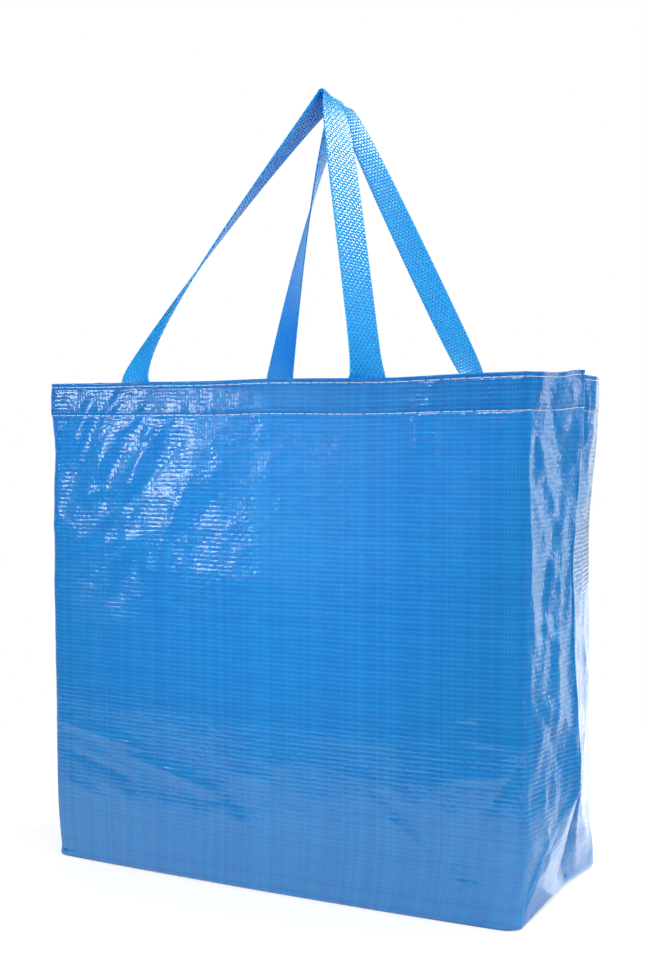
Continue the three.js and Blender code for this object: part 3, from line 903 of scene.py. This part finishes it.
def white_table():
    """White table top that keeps the bag's shadow, and fades into the white surroundings further off.

    Mirror rays see it white in front of the bag and straight behind its right side, and dark
    elsewhere. It ends a little nearer than the camera sees, so the foot of the front panel mirrors
    it and the rest of that panel does not.
    """
    mesh = bpy.data.meshes.new("table_top")
    left, right, near, far = -1.6, 1.6, -0.5, 2.6
    corners = [(left, near, 0), (right, near, 0), (right, far, 0), (left, far, 0)]
    mesh.from_pydata(corners, [], [(0, 1, 2, 3)])
    table = bpy.data.objects.new("table_top", mesh)
    bpy.context.scene.collection.objects.link(table)
    m = Finish("matt_white_paper", Roughness=0.9, Specular_IOR_Level=0.0, Emission_Color=(1, 1, 1, 1))
    path = m.node("LightPath")
    spot = m.node("TexCoord").outputs["Object"]
    away = m.node("VectorMath LENGTH", spot).outputs["Value"]
    fade = m.node("MapRange", away, 0.3, 0.75, interpolation_type="SMOOTHSTEP")
    paper = m.node("Mix", fade, data_type="RGBA", A_Color=linear("#D2D2D2"), B_Color=(0, 0, 0, 1))
    glow = m.node("Math MULTIPLY", path.outputs["Is Camera Ray"],
                  m.node("Math MULTIPLY_ADD", fade, 1 - NEAR_GLOW, NEAR_GLOW))

    from_side = m.node("VectorMath NORMALIZE", m.node("VectorMath SUBTRACT", spot, RIGHT_SIDE))
    toward = m.node("VectorMath DOT_PRODUCT", from_side, WHITE_WAY).outputs["Value"]
    behind = m.node("MapRange", toward, WHITE_FROM, WHITE_FULL, 0.03, 1.6,
                    interpolation_type="SMOOTHSTEP")
    behind = m.node("Math MULTIPLY", behind, m.node("Math MULTIPLY_ADD", fade, 0.5, 0.5))
    spot_y = m.node("SeparateXYZ", spot).outputs[1]
    before = m.node("Math MULTIPLY", 0.72, m.node("Math LESS_THAN", spot_y, -0.1))
    mirrored = m.node("Math MULTIPLY", path.outputs["Is Glossy Ray"],
                      m.node("Math MAXIMUM", behind, before))
    m.feed(Base_Color=paper.outputs[2], Emission_Strength=m.node("Math MAXIMUM", glow, mirrored))
    mesh.materials.append(m.material)


def white_world(fill, dark, white):
    """White surroundings for the camera, and an even fill for other rays.

    Mirror rays see a low band that is white straight behind the bag and dark elsewhere, and black
    above and below it.
    """
    world = bpy.data.worlds.new("studio")
    world.use_nodes = True
    bpy.context.scene.world = world
    tree = world.node_tree
    path = add_node(tree, "LightPath")
    way = add_node(tree, "TexCoord").outputs["Generated"]
    toward = add_node(tree, "VectorMath DOT_PRODUCT", way, WHITE_WAY).outputs["Value"]
    behind = add_node(tree, "MapRange", toward, WHITE_FROM, WHITE_FULL, dark, white,
                      interpolation_type="SMOOTHSTEP")
    height = add_node(tree, "SeparateXYZ", way).outputs[2]
    off = add_node(tree, "Math ABSOLUTE", add_node(tree, "Math SUBTRACT", height, 0.05))
    band = add_node(tree, "MapRange", off, 0.1, 0.17, 1.0, 0.0)
    room = add_node(tree, "Math MULTIPLY", behind, band)
    level = add_node(tree, "MapRange", path.outputs["Is Glossy Ray"], 0.0, 1.0, fill, room)
    background = tree.nodes["Background"]
    plug(tree, background.inputs["Strength"],
         add_node(tree, "Math MAXIMUM", path.outputs["Is Camera Ray"], level))
    plug(tree, background.inputs["Color"], (1, 1, 1, 1))


def soft_light(name, place, aim, size, power, spread=180, mirrored=True):
    """Softbox at a place in metres, turned to the aim; a grid narrows its beam to spread degrees.

    One that isn't mirrored lights the object, and shiny surfaces don't show its image.
    """
    lamp = bpy.data.lights.new(name, "AREA")
    lamp.spread = np.radians(spread)
    lamp.shape, lamp.size, lamp.size_y, lamp.energy = "RECTANGLE", *size, power
    obj = bpy.data.objects.new(name, lamp)
    bpy.context.scene.collection.objects.link(obj)
    obj.visible_glossy = mirrored
    obj.location = place
    obj.rotation_euler = (Vector(aim) - Vector(place)).to_track_quat("-Z", "Y").to_euler()


def photo_camera():
    """Camera of the photograph: its axes are ahead, right and up, turned by yaw, pitch and roll."""
    yaw, pitch, roll = np.radians(CAMERA_TURN)
    ahead = np.array([-np.sin(yaw) * np.cos(pitch), np.cos(yaw) * np.cos(pitch), -np.sin(pitch)])
    level = np.array([np.cos(yaw), np.sin(yaw), 0])
    over = np.cross(level, ahead)
    right = level * np.cos(roll) + over * np.sin(roll)
    up = over * np.cos(roll) - level * np.sin(roll)
    data = bpy.data.cameras.new("camera")
    data.sensor_fit, data.sensor_height, data.sensor_width = "VERTICAL", 36.0, 24.0
    data.lens = CAMERA_LENS
    camera = bpy.data.objects.new("camera", data)
    bpy.context.scene.collection.objects.link(camera)
    turned = Matrix(np.stack([right, up, -ahead], 1).tolist()).to_4x4()
    camera.matrix_world = Matrix.Translation(CAMERA_PLACE) @ turned
    bpy.context.scene.camera = camera


white_table()
white_world(fill=0.68, dark=0.03, white=1.2)
soft_light("left_front_box", (-1.6, -1.9, 0.6), (-0.1, 0, 0.4), (0.45, 0.35), 6)
soft_light("strip_box", (-0.87, -2.25, 0.35), (0.1, 0, 0.4), (0.14, 0.4), 0.22)
soft_light("front_top_box", (0.1, -1.9, 1.75), (0, 0, 0.35), (1.0, 1.0), 24)
soft_light("right_back_box", (0.91, 1.23, 2.26), (0, 0, 0.6), (0.7, 0.5), 37)
soft_light("right_low_box", (1.9, -0.3, 0.3), (0.2, 0, 0.3), (2.2, 1.2), 21, mirrored=False)
soft_light("centre_spot", (-0.3, -1.6, 0.9), (-0.02, -0.1, 0.29), (0.3, 0.3), 0.12, spread=17)
soft_light("side_strip", (0.95, 1.35, 0.5), (0.25, 0, 0.3), (0.14, 1.1), 1.6)
photo_camera()
bpy.context.scene.view_settings.view_transform = "Standard"
